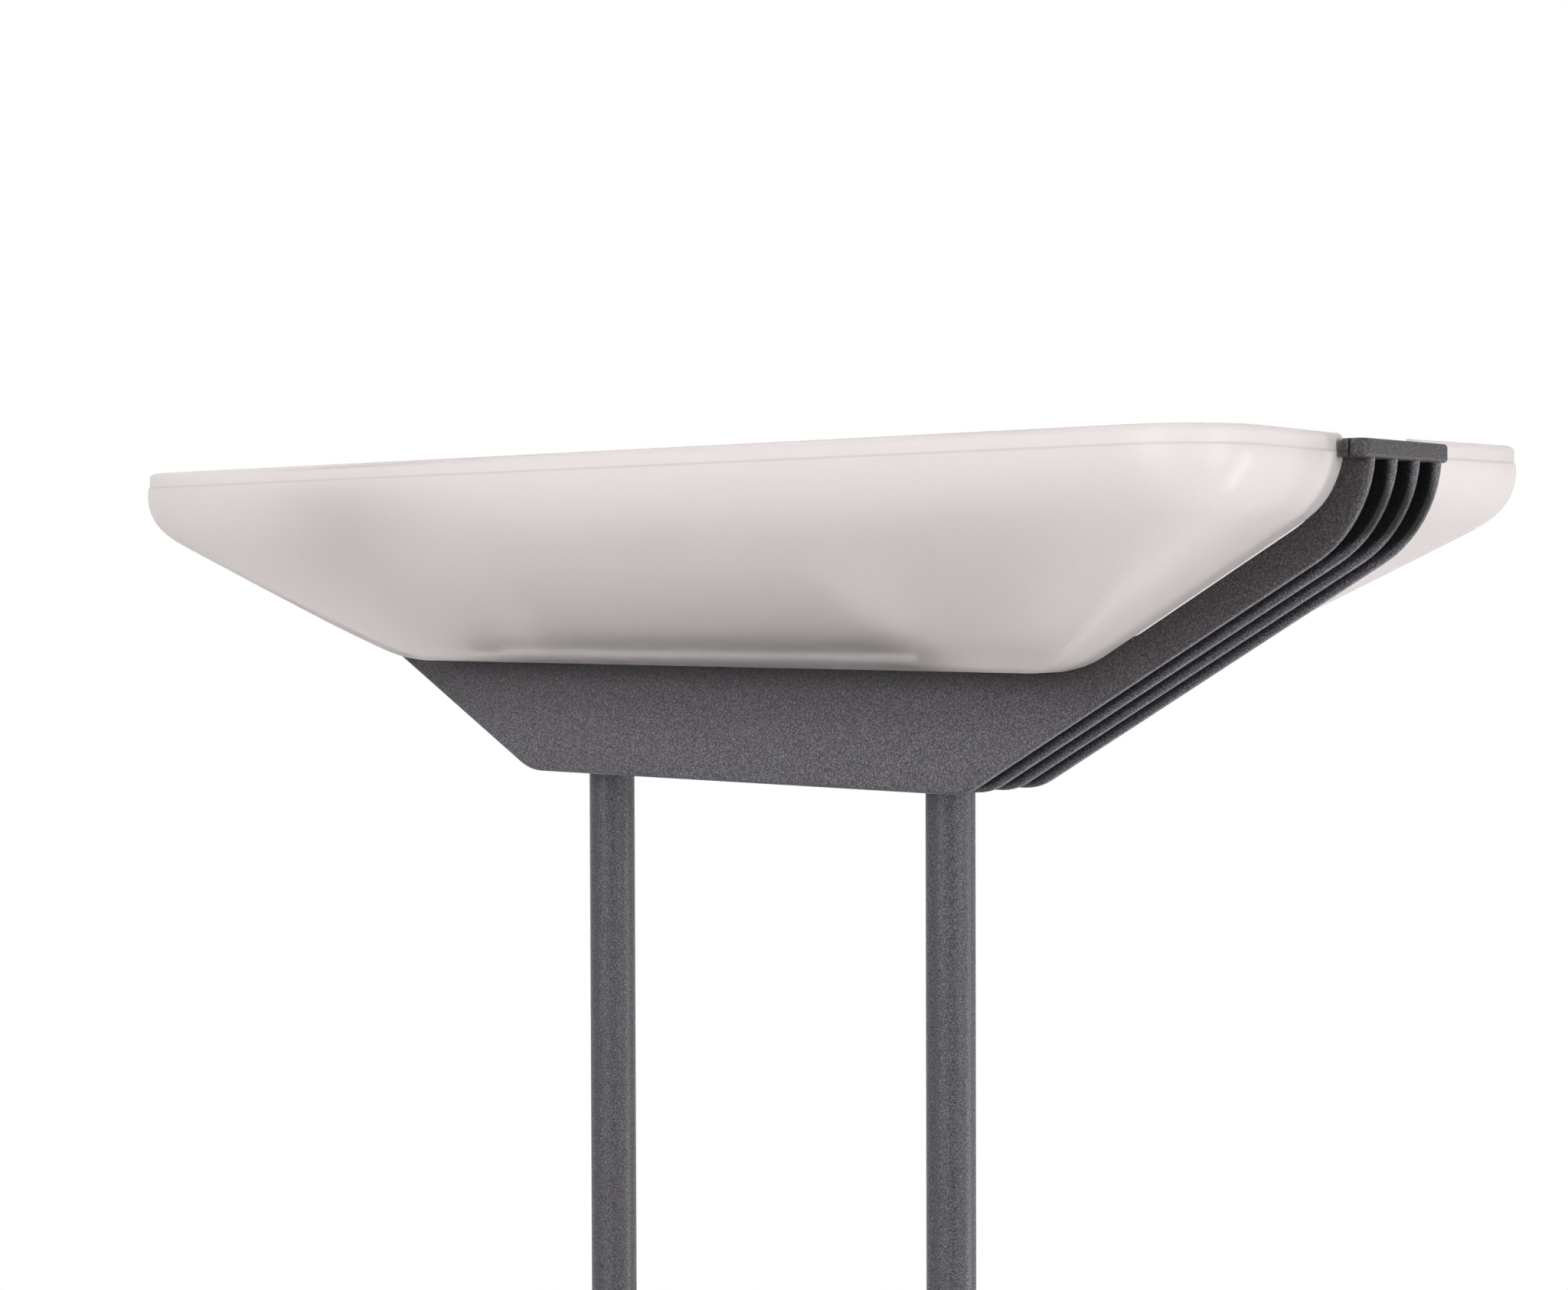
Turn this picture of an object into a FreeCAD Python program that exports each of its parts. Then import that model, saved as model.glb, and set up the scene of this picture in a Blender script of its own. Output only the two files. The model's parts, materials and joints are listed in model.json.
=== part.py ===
"""Uplighter: a long shallow head of a ribbed keel and two frosted half bowls, on twin posts.

Millimetres, +Z up. X runs along the head, -Y is the front, and the origin is the middle of the
footprint, at floor level. Heights with head_ in their name are measured from the keel's bottom.
"""
import FreeCAD, Part
import math
import os

os.makedirs("parts", exist_ok=True)
Vec = FreeCAD.Vector

# Whole lamp
lamp_height = 1850.0
overrun = 2.0
least_edge = 0.001
touch_gap = 0.3
slip_gap = 0.05
screw_gap = 0.1

# Keel casting: four fins side by side, a web behind them, and a flat bar at each tip
keel_width = 53.0
fin_thickness = 4.5
fin_count = 4
fin_depth = 10.5
fin_edge_radius = 2.0
web_thickness = 3.5
keel_slope = math.radians(30.1)
keel_knee_height = 101.62
keel_tip_lead = 10.8
keel_bottom_radius = 25.0
keel_inner_radius = 2.0
keel_tip_straight = 1.6
cheek_height = 62.0
bar_thickness = 6.8
bar_overhang = 0.2
bar_side_lip = 5.4
bar_lip_setback = 1.9
bar_corner_radius = 4.0
bar_edge_radius = 1.5
bar_below_rim = 2.2
bar_groove = 1.0
bar_groove_inset = 5.2

# Half bowls
rim_height = 133.5
bowl_bottom_height = 48.7
bowl_knee_height = 112.1
bowl_end_half = 285.0
bowl_reach = 120.5
bowl_wall = 4.0
bowl_end_low_radius = 49.0
bowl_end_high_radius = 30.0
bowl_front_line = 50.0
bowl_front_slope = math.radians(41.3)
bowl_front_low_radius = 12.0
bowl_front_high_radius = 37.0
bowl_corner_radius = 31.0
bowl_least_corner = 3.0
bowl_corner_growth_share = 1.4
bowl_flare_share = 0.075
bowl_sections = 18
bowl_section_ease_share = 1.6
rim_band = 6.5
rim_step = 0.3
rim_edge_radius = 2.4

# Posts and their sockets in the keel
post_spacing = 189.0
post_radius = 10.0
post_wall = 2.0
socket_depth = 26.0
socket_height = 30.0
socket_radius = 15.0
grub_radius = 2.5
grub_length = 5.0
grub_height = 14.0
lead_radius = 3.0
lead_bend_radius = 12.0
grommet_length = 12.0

# Wiring bay, between the cheeks of the keel
pillar_radius = 5.0
pillar_clearance = 2.0
cover_thickness = 2.0
cover_side_gap = 0.2
terminal_half_length = 22.0
terminal_half_width = 9.0
terminal_height = 34.0
terminal_screw_radius = 2.5
terminal_screw_height = 1.5
terminal_screw_rows = 3

# Bowl rails and clips
rail_half = 115.0
rail_depth = 20.0
rail_height = 4.0
rail_edge_radius = 1.0
rail_screw_inset = 15.0
rail_screw_radius = 1.25
rail_screw_head_radius = 2.25
rail_screw_reach = 8.0
clip_height = 6.0
clip_bottom_height = 124.9
clip_depth = 13.0
clip_thickness = 1.5
clip_inset = 15.0
clip_foot_reach = 5.0

# Fasteners
small_screw_radius = 2.0
small_head_radius = 3.0
small_head_height = 2.0
socket_key_share = 0.45
bolt_radius = 4.0
bolt_head_radius = 6.5
bolt_head_height = 5.0

# Lamp housing, reflector and tube
housing_low_half_length = 104.0
housing_low_half_width = 30.0
housing_top_half_length = 112.0
housing_top_half_width = 60.0
housing_height = 42.0
housing_wall = 2.0
housing_screw_half = 96.0
reflector_half_length = 50.0
reflector_half_width = 50.0
reflector_rise = 34.0
reflector_lift = 4.0
reflector_sheet = 1.0
tube_axis_lift = 24.0
tube_radius = 6.0
tube_half_length = 38.0
tube_end_radius = 3.0
pinch_length = 8.0
pinch_thickness = 3.0
cap_radius = 4.5
contact_half = 57.1
holder_inner_half = 52.0
holder_length = 26.0
holder_half_width = 11.0
holder_height = 24.0
holder_recess_radius = 6.0
holder_recess_depth = 8.0
holder_edge = 1.5
plunger_radius = 3.0
plunger_length = 14.0
plunger_travel = 3.0
plunger_tip = 1.2
bracket_sheet = 1.5
bracket_foot = 10.0
bracket_rise = 6.0
shield_sheet = 1.0

# Hinged frame with its glass
frame_half_length = 115.0
frame_half_width = 62.0
frame_border = 9.0
frame_thickness = 4.0
frame_corner_radius = 4.0
glass_thickness = 2.0
glass_overlap = 4.0
hinge_offset = 5.0
ear_drop = 10.5
ear_round_share = 0.9
knuckle_radius = 3.0
knuckle_length = 8.0
ear_thickness = 4.0
ear_half = 80.0
hinge_pin_radius = 1.5
tab_half_width = 14.0
tab_depth = 5.0
tab_thickness = 1.6

# Base, shoe and dimmer
base_length = 360.0
base_width = 280.0
base_thickness = 12.0
base_corner_radius = 50.0
base_edge_radius = 2.5
pad_radius = 14.0
pad_thickness = 3.0
pad_inset = 34.0
shoe_length = 250.0
shoe_width = 66.0
shoe_height = 36.0
shoe_wall = 2.5
shoe_edge_radius = 5.0
foot_radius = 22.0
foot_height = 28.0
foot_floor = 10.0
collar_radius = 14.0
collar_height = 6.0
collar_edge_radius = 1.5
knob_radius = 18.0
knob_height = 14.0
knob_lift = 0.6
knob_edge_radius = 2.0
knob_flutes = 24
knob_flute_radius = 1.2
pointer_half_width = 0.9
pointer_depth = 0.5
pointer_inner_share = 0.33
shaft_radius = 3.0
shaft_length = 22.0
module_length = 46.0
module_width = 34.0
module_height = 14.0
bushing_radius = 5.0
nut_radius = 6.5
nut_height = 2.5
gland_radius = 8.0
gland_flange = 3.0
gland_nose = 10.0
gland_nose_radius = 6.0
gland_bore = 3.6
gland_nut_radius = 10.0
gland_nut_height = 4.0

# Places worked out from the sizes above
keel_half = keel_width / 2
fin_pitch = (keel_width - fin_thickness) / (fin_count - 1)
basin_depth = fin_depth + web_thickness
head_z = lamp_height - rim_height
bar_top = rim_height - bar_below_rim
bar_bottom = bar_top - bar_thickness
fin_top = bar_top - bar_thickness / 4
keel_tip_rise = fin_top - keel_tip_straight - keel_knee_height
keel_tip_radius = keel_tip_rise / math.tan((math.pi / 2 - keel_slope) / 2)
keel_tip_half = bowl_end_half + keel_tip_lead
keel_bottom_half = keel_tip_half - keel_knee_height / math.tan(keel_slope)
bowl_line_half = bowl_end_half - (bowl_knee_height - bowl_bottom_height) / math.tan(keel_slope)
bay_half_width = keel_half - fin_thickness
post_half = post_spacing / 2
cover_bottom = cheek_height - cover_thickness
cover_half = keel_bottom_half + (cover_bottom - basin_depth / math.cos(keel_slope)) / math.tan(keel_slope)
pillar_half = post_half + socket_radius + pillar_radius + pillar_clearance
rail_bottom = bowl_bottom_height + bowl_wall + touch_gap
rail_screw_height = rail_bottom + rail_height / 2
rail_screw_half = rail_half - rail_screw_inset
clip_screw_height = clip_bottom_height + clip_height / 2
tube_axis = cheek_height + tube_axis_lift
housing_top = cheek_height + housing_height
housing_floor = cheek_height + housing_wall
frame_bottom = housing_top + touch_gap
frame_top = frame_bottom + frame_thickness
hinge_y = frame_half_width + hinge_offset
hinge_z = frame_bottom + frame_thickness / 2
base_top = pad_thickness + base_thickness
shoe_top = base_top + shoe_height
post_bottom = base_top + foot_floor
lead_height = socket_height + lead_bend_radius


def flat(point, height=0.0):
    """A plan point at a height."""
    return Vec(point[0], point[1], height)


def upright(point, depth=0.0):
    """A point of an elevation along X, at a place in depth."""
    return Vec(point[0], depth, point[1])


def sideways(point, along=0.0):
    """A point of a cross section, at a place along X."""
    return Vec(along, point[0], point[1])


def rounded_wire(corners, radii, place, level=0.0):
    """Closed wire through the corners, each rounded by its own radius."""
    points = [Vec(u, v, 0) for u, v in corners]
    count = len(points)
    arcs = []
    for index, radius in enumerate(radii):
        here = points[index]
        back = points[index - 1] - here
        ahead = points[(index + 1) % count] - here
        if radius <= 0:
            arcs.append((here, None, here))
            continue
        half_angle = back.getAngle(ahead) / 2
        reach = radius / math.tan(half_angle)
        back.normalize()
        ahead.normalize()
        inward = back + ahead
        inward.normalize()
        centre = here + inward * (radius / math.sin(half_angle))
        arcs.append((here + back * reach, centre - inward * radius, here + ahead * reach))
    edges = []
    for index, (start, middle, end) in enumerate(arcs):
        placed = [place((p.x, p.y), level) for p in (start, end)]
        if middle is not None:
            edges.append(Part.Arc(placed[0], place((middle.x, middle.y), level), placed[1]).toShape())
        after = arcs[(index + 1) % count][0]
        target = place((after.x, after.y), level)
        if (target - placed[1]).Length > least_edge:
            edges.append(Part.makeLine(placed[1], target))
    return Part.Wire(edges)


def prism(corners, radii, place, start, end):
    """Solid between two levels along the axis that the plane faces."""
    base = rounded_wire(corners, radii, place, start)
    step = place((0, 0), end) - place((0, 0), start)
    return Part.Face(base).extrude(step)


def rectangle(half_u, half_v):
    return [(-half_u, -half_v), (half_u, -half_v), (half_u, half_v), (-half_u, half_v)]


def box(x0, x1, y0, y1, z0, z1):
    return Part.makeBox(x1 - x0, y1 - y0, z1 - z0, Vec(x0, y0, z0))


def rod(radius, start, end):
    axis = end - start
    return Part.makeCylinder(radius, axis.Length, start, axis)


def mirrored(shape, normal):
    return shape.mirror(Vec(0, 0, 0), normal)


def both_ends(shape):
    """A piece of the right end with its twin at the left end."""
    return [shape, mirrored(shape, Vec(1, 0, 0))]


def fuse_all(shapes):
    return shapes[0].multiFuse(shapes[1:]).removeSplitter()


def lift_head(shape):
    shape.translate(Vec(0, 0, head_z))
    return shape


# Keel
def keel_corners(offset, floor, top):
    """Elevation of the keel, drawn in by an offset and cut level at a floor."""
    tangent = math.tan(keel_slope)
    shift = offset / math.cos(keel_slope)
    side = keel_tip_half - offset
    floor_half = keel_bottom_half + (floor - shift) / tangent
    knee = (side - keel_bottom_half) * tangent + shift
    right = [(floor_half, floor), (side, knee), (side, top)]
    left = [(-u, v) for u, v in reversed(right)]
    return left + right


def keel_prism(offset, floor, top, y0, y1):
    low = max(keel_bottom_radius - offset, keel_inner_radius)
    knee = keel_tip_radius - offset
    radii = [0, knee, low, low, knee, 0]
    return prism(keel_corners(offset, floor, top), radii, upright, y0, y1)


def fin(y0):
    """One plate of the keel, its outline rounded on both faces up to the bar."""
    plate = keel_prism(0, 0, fin_top, y0, y0 + fin_thickness)
    outline = [e for e in plate.Edges if e.BoundBox.YLength < least_edge and e.BoundBox.ZMin < bar_bottom]
    return plate.makeFillet(fin_edge_radius, outline)


def end_bar():
    inner = bowl_end_half - clip_inset - clip_foot_reach
    shoulder = bowl_end_half + bowl_flare_share * bar_side_lip + bar_lip_setback
    outer = keel_tip_half + bar_overhang
    wide = keel_half + bar_side_lip
    groove = outer - bar_groove_inset
    front = [(inner, -keel_half), (shoulder, -keel_half), (shoulder, -wide), (outer, -wide)]
    rear = [(u, -v) for u, v in reversed(front)]
    radii = [0, 0, 0, bar_corner_radius, bar_corner_radius, 0, 0, 0]
    bar = prism(front + rear, radii, flat, bar_bottom, bar_top)
    beyond = shoulder + touch_gap
    edges = [e for e in bar.Edges if e.BoundBox.ZLength < least_edge and e.BoundBox.XMax > beyond]
    bar = bar.makeFillet(bar_edge_radius, edges)
    for side in (-1, 1):
        y0, y1 = sorted((side * wide - side * bar_groove, side * (wide + overrun)))
        bar = bar.cut(box(groove - bar_groove, groove, y0, y1, bar_bottom - overrun, bar_top + overrun))
    return bar


def keel_casting():
    above = rim_height + overrun
    fins = [fin(-keel_half + index * fin_pitch) for index in range(fin_count)]
    core = keel_prism(fin_depth, fin_depth, fin_top, -keel_half, keel_half)
    body = fuse_all(fins + [core])
    basin = keel_prism(basin_depth, basin_depth, above, -bay_half_width, bay_half_width)
    window = keel_prism(basin_depth, cheek_height, above, -keel_half - overrun, keel_half + overrun)
    body = body.cut(basin).cut(window)
    added = both_ends(end_bar())
    for side in (-1, 1):
        x = side * post_half
        added.append(rod(socket_radius, Vec(x, 0, 0), Vec(x, 0, socket_height)))
        x = side * pillar_half
        added.append(rod(pillar_radius, Vec(x, 0, fin_depth + web_thickness / 2), Vec(x, 0, cover_bottom)))
    body = fuse_all([body] + added)
    holes = []
    for side in (-1, 1):
        x = side * post_half
        holes.append(rod(post_radius + slip_gap, Vec(x, 0, -overrun), Vec(x, 0, socket_depth)))
        holes.append(rod(post_radius - post_wall, Vec(x, 0, 0), Vec(x, 0, socket_height + overrun)))
        holes.append(rod(grub_radius + screw_gap, Vec(x, 0, grub_height),
                         Vec(x, keel_half + overrun, grub_height)))
        x = side * pillar_half
        depth = cover_bottom - pillar_radius * 2
        holes.append(rod(small_screw_radius + screw_gap, Vec(x, 0, depth), Vec(x, 0, cheek_height)))
        for along in (-1, 0, 1):
            x = along * rail_screw_half
            holes.append(rod(rail_screw_radius + screw_gap, Vec(x, 0, rail_screw_height),
                             Vec(x, side * (keel_half + overrun), rail_screw_height)))
        for end in (-1, 1):
            x = end * (bowl_end_half - clip_inset)
            holes.append(rod(small_screw_radius + screw_gap,
                             Vec(x, side * (keel_half + overrun), clip_screw_height),
                             Vec(x, side * (bay_half_width - overrun), clip_screw_height)))
    return body.cut(Part.makeCompound(holes)).removeSplitter()


# Half bowls
def wall_reach(z, line, slope, low_radius, high_radius, limit, bottom):
    """How far a bowl's side reaches at a height: foot arc, straight slant, knee arc, upright."""
    low_tangent = low_radius * math.tan(slope / 2)
    high_tangent = high_radius * math.tan((math.pi / 2 - slope) / 2)
    knee = bottom + (limit - line) * math.tan(slope)
    height = z - bottom
    if height < low_tangent * math.sin(slope):
        return line - low_tangent + math.sqrt(max(low_radius ** 2 - (low_radius - height) ** 2, 0))
    if z < knee - high_tangent * math.sin(slope):
        return line + height / math.tan(slope)
    below = knee + high_tangent - z
    if below > 0:
        return limit - high_radius + math.sqrt(high_radius ** 2 - below ** 2)
    return limit


def bowl_shape(z, inset):
    """Half length at the keel's face, reach to the front, and plan corner radius at a height."""
    bottom = bowl_bottom_height + inset
    end_line = bowl_line_half - inset * math.tan(keel_slope / 2)
    end = wall_reach(z, end_line, keel_slope, bowl_end_low_radius - inset, bowl_end_high_radius - inset,
                     bowl_end_half - inset, bottom)
    front_line = bowl_front_line - inset * math.tan(bowl_front_slope / 2)
    front = wall_reach(z, front_line, bowl_front_slope, bowl_front_low_radius - inset,
                       bowl_front_high_radius - inset, bowl_reach - inset, bottom)
    rise_share = min(max((z - bottom) / (rim_height - rim_band - bottom), 0), 1)
    radius = (bowl_corner_radius - inset) * rise_share ** bowl_corner_growth_share
    return end, front, max(radius, bowl_least_corner)


def bowl_wire(z, inset, back, trim=0.0):
    """Plan section of a half bowl, from its open back line round to the front."""
    end, front, radius = bowl_shape(z, inset)
    end -= trim
    front -= trim
    back_half = end + bowl_flare_share * (back - keel_half)
    front_half = end + bowl_flare_share * (front - keel_half)
    corners = [(-back_half, -back), (-front_half, -front), (front_half, -front), (back_half, -back)]
    return rounded_wire(corners, [0, radius, radius, 0], flat, z)


def bowl_heights(bottom, top):
    steps = [(index / bowl_sections) ** bowl_section_ease_share for index in range(bowl_sections + 1)]
    return [bottom + (top - bottom) * step for step in steps]


def half_bowl():
    seam = rim_height - rim_band
    outer_wires = [bowl_wire(z, 0, keel_half) for z in bowl_heights(bowl_bottom_height, seam)]
    outer = Part.makeLoft(outer_wires, True, False)
    rim_wires = [bowl_wire(z, 0, keel_half, rim_step) for z in (seam, rim_height)]
    rim = Part.makeLoft(rim_wires, True, True)
    rim_edges = [e for e in rim.Edges if e.BoundBox.ZMin > rim_height - rim_edge_radius / 2
                 and e.BoundBox.YMin < -keel_half - overrun]
    rim = rim.makeFillet(rim_edge_radius, rim_edges)
    inner_bottom = bowl_bottom_height + bowl_wall
    open_back = keel_half - overrun
    inner_wires = [bowl_wire(z, bowl_wall, open_back) for z in bowl_heights(inner_bottom, seam)]
    inner = Part.makeLoft(inner_wires, True, False)
    mouth_wires = [bowl_wire(z, bowl_wall, open_back) for z in (seam, rim_height + overrun)]
    mouth = Part.makeLoft(mouth_wires, True, True)
    return outer.fuse(rim).cut(inner).cut(mouth).removeSplitter()


def bowl_rail():
    """Flat bar along the keel's cheek that holds the bowl's foot down, tapped for screws in its edge."""
    top = rail_bottom + rail_height
    outer = -keel_half - rail_depth
    profile = [(-keel_half, rail_bottom), (-keel_half, top), (outer, top), (outer, rail_bottom)]
    bar = prism(profile, [0, 0, rail_edge_radius, rail_edge_radius], sideways, -rail_half, rail_half)
    for along in (-1, 0, 1):
        x = along * rail_screw_half
        bar = bar.cut(rod(rail_screw_radius + screw_gap, Vec(x, -keel_half + overrun, rail_screw_height),
                          Vec(x, -keel_half - rail_screw_reach - screw_gap, rail_screw_height)))
    return bar


def bowl_clips():
    """Angle plates that hold the bowl's two ends to the bars at the keel's tips."""
    wall = bowl_shape(clip_bottom_height, bowl_wall)[0] - touch_gap
    top = clip_bottom_height + clip_height
    foot_inner = bowl_end_half - clip_inset - clip_foot_reach
    foot = box(foot_inner, wall, -keel_half - clip_thickness, -keel_half, clip_bottom_height, top)
    leg = box(wall - clip_thickness, wall, -keel_half - clip_depth, -keel_half, clip_bottom_height, top)
    x = bowl_end_half - clip_inset
    hole = rod(small_screw_radius + screw_gap, Vec(x, -keel_half - overrun, clip_screw_height),
               Vec(x, -keel_half + overrun, clip_screw_height))
    return both_ends(fuse_all([foot, leg]).cut(hole))


def screw(head_at, direction, length, radius=small_screw_radius, head_radius=small_head_radius,
          head_height=small_head_height):
    """Screw whose head's underside is at a point, with its shank along a direction."""
    shank = rod(radius, head_at, head_at + direction * length)
    head = rod(head_radius, head_at - direction * head_height, head_at)
    key_depth = head_height * socket_key_share
    key = rod(head_radius * socket_key_share, head_at - direction * head_height,
              head_at - direction * (head_height - key_depth))
    return fuse_all([shank, head]).cut(key)


def rail_screws():
    shapes = []
    for side in (-1, 1):
        for along in (-1, 0, 1):
            start = Vec(along * rail_screw_half, side * bay_half_width, rail_screw_height)
            shapes.append(screw(start, Vec(0, side, 0), fin_thickness + rail_screw_reach,
                                rail_screw_radius, rail_screw_head_radius))
    return shapes


def clip_screws():
    shapes = []
    for side in (-1, 1):
        for end in (-1, 1):
            start = Vec(end * (bowl_end_half - clip_inset), side * (keel_half + clip_thickness),
                        clip_screw_height)
            shapes.append(screw(start, Vec(0, -side, 0), clip_thickness + fin_thickness))
    return shapes


# Wiring bay
def bay_cover():
    half = cover_half - touch_gap
    wide = bay_half_width - cover_side_gap
    plate = box(-half, half, -wide, wide, cover_bottom, cheek_height)
    for side in (-1, 1):
        for x in (side * pillar_half, side * housing_screw_half):
            plate = plate.cut(rod(small_screw_radius + screw_gap, Vec(x, 0, cover_bottom - overrun),
                                  Vec(x, 0, cheek_height + overrun)))
    return plate


def cover_screws():
    length = pillar_radius * 2
    return [screw(Vec(side * pillar_half, 0, cheek_height), Vec(0, 0, -1), length) for side in (-1, 1)]


def terminal_block():
    top = basin_depth + terminal_height
    block = box(-terminal_half_length, terminal_half_length, -terminal_half_width, terminal_half_width,
                basin_depth, top)
    for x, y in terminal_places():
        block = block.cut(rod(terminal_screw_radius + screw_gap, Vec(x, y, top - terminal_screw_height * 2),
                              Vec(x, y, top + overrun)))
    return block


def terminal_places():
    pitch = terminal_half_length * 2 / terminal_screw_rows
    columns = [(index + 0.5) * pitch - terminal_half_length for index in range(terminal_screw_rows)]
    return [(x, side * terminal_half_width / 2) for x in columns for side in (-1, 1)]


def terminal_screws():
    low = basin_depth + terminal_height - terminal_screw_height * 2
    shapes = []
    for x, y in terminal_places():
        head = rod(terminal_screw_radius, Vec(x, y, low), Vec(x, y, low + terminal_screw_height))
        slot_half = terminal_screw_radius * socket_key_share / 2
        slot = box(x - terminal_screw_radius, x + terminal_screw_radius, y - slot_half, y + slot_half,
                   low + terminal_screw_height / 2, low + terminal_screw_height * 2)
        shapes.append(head.cut(slot))
    return shapes


# Posts
def post(side):
    x = side * post_half
    top = head_z + socket_depth
    tube = rod(post_radius, Vec(x, 0, post_bottom), Vec(x, 0, top))
    bore = rod(post_radius - post_wall, Vec(x, 0, post_bottom - overrun), Vec(x, 0, top + overrun))
    return tube.cut(bore)


def grub_screws():
    shapes = []
    for side in (-1, 1):
        start = Vec(side * post_half, post_radius + slip_gap, grub_height)
        body = rod(grub_radius, start, start + Vec(0, grub_length, 0))
        key = rod(grub_radius * socket_key_share, start + Vec(0, grub_length / 2, 0),
                  start + Vec(0, grub_length + overrun, 0))
        shapes.append(body.cut(key))
    return shapes


def lead_path(side):
    """Up the post, round one bend, and level into the terminal block."""
    x = side * post_half
    bend_x = x - side * lead_bend_radius
    bend_z = head_z + socket_height
    low = Vec(x, 0, post_bottom + touch_gap)
    turn_start = Vec(x, 0, bend_z)
    share = math.sin(math.pi / 4)
    turn_middle = Vec(bend_x + side * lead_bend_radius * share, 0, bend_z + lead_bend_radius * share)
    turn_end = Vec(bend_x, 0, bend_z + lead_bend_radius)
    end = Vec(side * terminal_half_length, 0, bend_z + lead_bend_radius)
    return Part.Wire([Part.makeLine(low, turn_start), Part.Arc(turn_start, turn_middle, turn_end).toShape(),
                      Part.makeLine(turn_end, end)])


def lead(side):
    path = lead_path(side)
    start = path.Vertexes[0].Point
    circle = Part.Wire(Part.makeCircle(lead_radius, start, Vec(0, 0, 1)))
    return path.makePipeShell([circle], True, True)


def grommets():
    """Rubber bushes that hold the leads at both ends of the posts."""
    shapes = []
    for side in (-1, 1):
        x = side * post_half
        for low in (post_bottom, head_z + socket_depth - grommet_length):
            ring = rod(post_radius - post_wall - slip_gap, Vec(x, 0, low), Vec(x, 0, low + grommet_length))
            hole = rod(lead_radius + slip_gap, Vec(x, 0, low - overrun),
                       Vec(x, 0, low + grommet_length + overrun))
            shapes.append(ring.cut(hole))
    return shapes


# Lamp housing and what it holds
def housing_half(z, inset):
    """Half length and half width of the housing at a height, inside or outside its wall."""
    share = (z - cheek_height) / housing_height
    length = housing_low_half_length + (housing_top_half_length - housing_low_half_length) * share
    width = housing_low_half_width + (housing_top_half_width - housing_low_half_width) * share
    return length - inset, width - inset


def housing_loft(low, high, inset):
    wires = [rounded_wire(rectangle(*housing_half(z, inset)), [0] * 4, flat, z) for z in (low, high)]
    return Part.makeLoft(wires, True, True)


def hinge_ear(x):
    """Plate on the housing's rear wall that carries the hinge pin."""
    low = housing_top - ear_drop
    wall_low = housing_half(low, 0)[1] - housing_wall / 2
    wall_top = housing_top_half_width - housing_wall / 2
    near = hinge_y - knuckle_radius
    far = hinge_y + knuckle_radius
    high = hinge_z + knuckle_radius
    corners = [(wall_low, low), (far, hinge_z - knuckle_radius), (far, high), (near, high),
               (near, housing_top), (wall_top, housing_top)]
    round_over = knuckle_radius * ear_round_share
    radii = [0, knuckle_radius, round_over, round_over, 0, 0]
    plate = prism(corners, radii, sideways, x - ear_thickness / 2, x + ear_thickness / 2)
    hole = rod(hinge_pin_radius + slip_gap, Vec(x - ear_thickness, hinge_y, hinge_z),
               Vec(x + ear_thickness, hinge_y, hinge_z))
    return plate.cut(hole)


def lamp_housing():
    outer = housing_loft(cheek_height, housing_top, 0)
    inner = housing_loft(housing_floor, housing_top + overrun, housing_wall)
    body = outer.cut(inner)
    body = fuse_all([body] + [hinge_ear(side * ear_half) for side in (-1, 1)])
    for side in (-1, 1):
        x = side * housing_screw_half
        body = body.cut(rod(small_screw_radius + screw_gap, Vec(x, 0, cheek_height - overrun),
                            Vec(x, 0, housing_floor + overrun)))
    return body


def housing_screws():
    length = housing_wall + cover_thickness
    down = Vec(0, 0, -1)
    return [screw(Vec(side * housing_screw_half, 0, housing_floor), down, length) for side in (-1, 1)]


def reflector():
    """Polished trough between the lamp holders, with lips that rest against the housing."""
    low = housing_floor + reflector_lift
    top = low + reflector_rise
    lip = housing_half(top - reflector_sheet, housing_wall)[1] - touch_gap / 2
    radius = (reflector_half_width ** 2 + reflector_rise ** 2) / (2 * reflector_rise)
    centre = low + radius

    def trough(offset):
        grown = radius + offset
        half = math.sqrt(grown ** 2 - (centre - top) ** 2)
        ends = [Vec(-reflector_half_length, y, top) for y in (-half, half)]
        bottom = Vec(-reflector_half_length, 0, centre - grown)
        return Part.Wire([Part.Arc(ends[0], bottom, ends[1]).toShape(), Part.makeLine(ends[1], ends[0])])

    run = Vec(reflector_half_length * 2, 0, 0)
    solid = Part.Face(trough(reflector_sheet)).extrude(run)
    hollow = Part.Face(trough(0)).extrude(run - Vec(reflector_sheet * 2, 0, 0))
    hollow.translate(Vec(reflector_sheet, 0, 0))
    lips = box(-reflector_half_length, reflector_half_length, -lip, lip, top - reflector_sheet, top)
    opening = rod(cap_radius + overrun, Vec(-reflector_half_length - overrun, 0, tube_axis),
                  Vec(reflector_half_length + overrun, 0, tube_axis))
    return fuse_all([solid, lips]).cut(hollow).cut(opening)


def tube():
    """Quartz tube with a flattened pinch at each end."""
    body = rod(tube_radius, Vec(-tube_half_length, 0, tube_axis), Vec(tube_half_length, 0, tube_axis))
    body = body.makeFillet(tube_end_radius, [e for e in body.Edges if e.BoundBox.XLength < overrun])
    reach = tube_half_length + pinch_length
    pinch = box(-reach, reach, -cap_radius + slip_gap, cap_radius - slip_gap,
                tube_axis - pinch_thickness / 2, tube_axis + pinch_thickness / 2)
    return fuse_all([body, pinch])


def tube_caps():
    start = tube_half_length + pinch_length
    end = contact_half - touch_gap
    cap = rod(cap_radius, Vec(start, 0, tube_axis), Vec(end, 0, tube_axis))
    return both_ends(cap)


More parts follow.
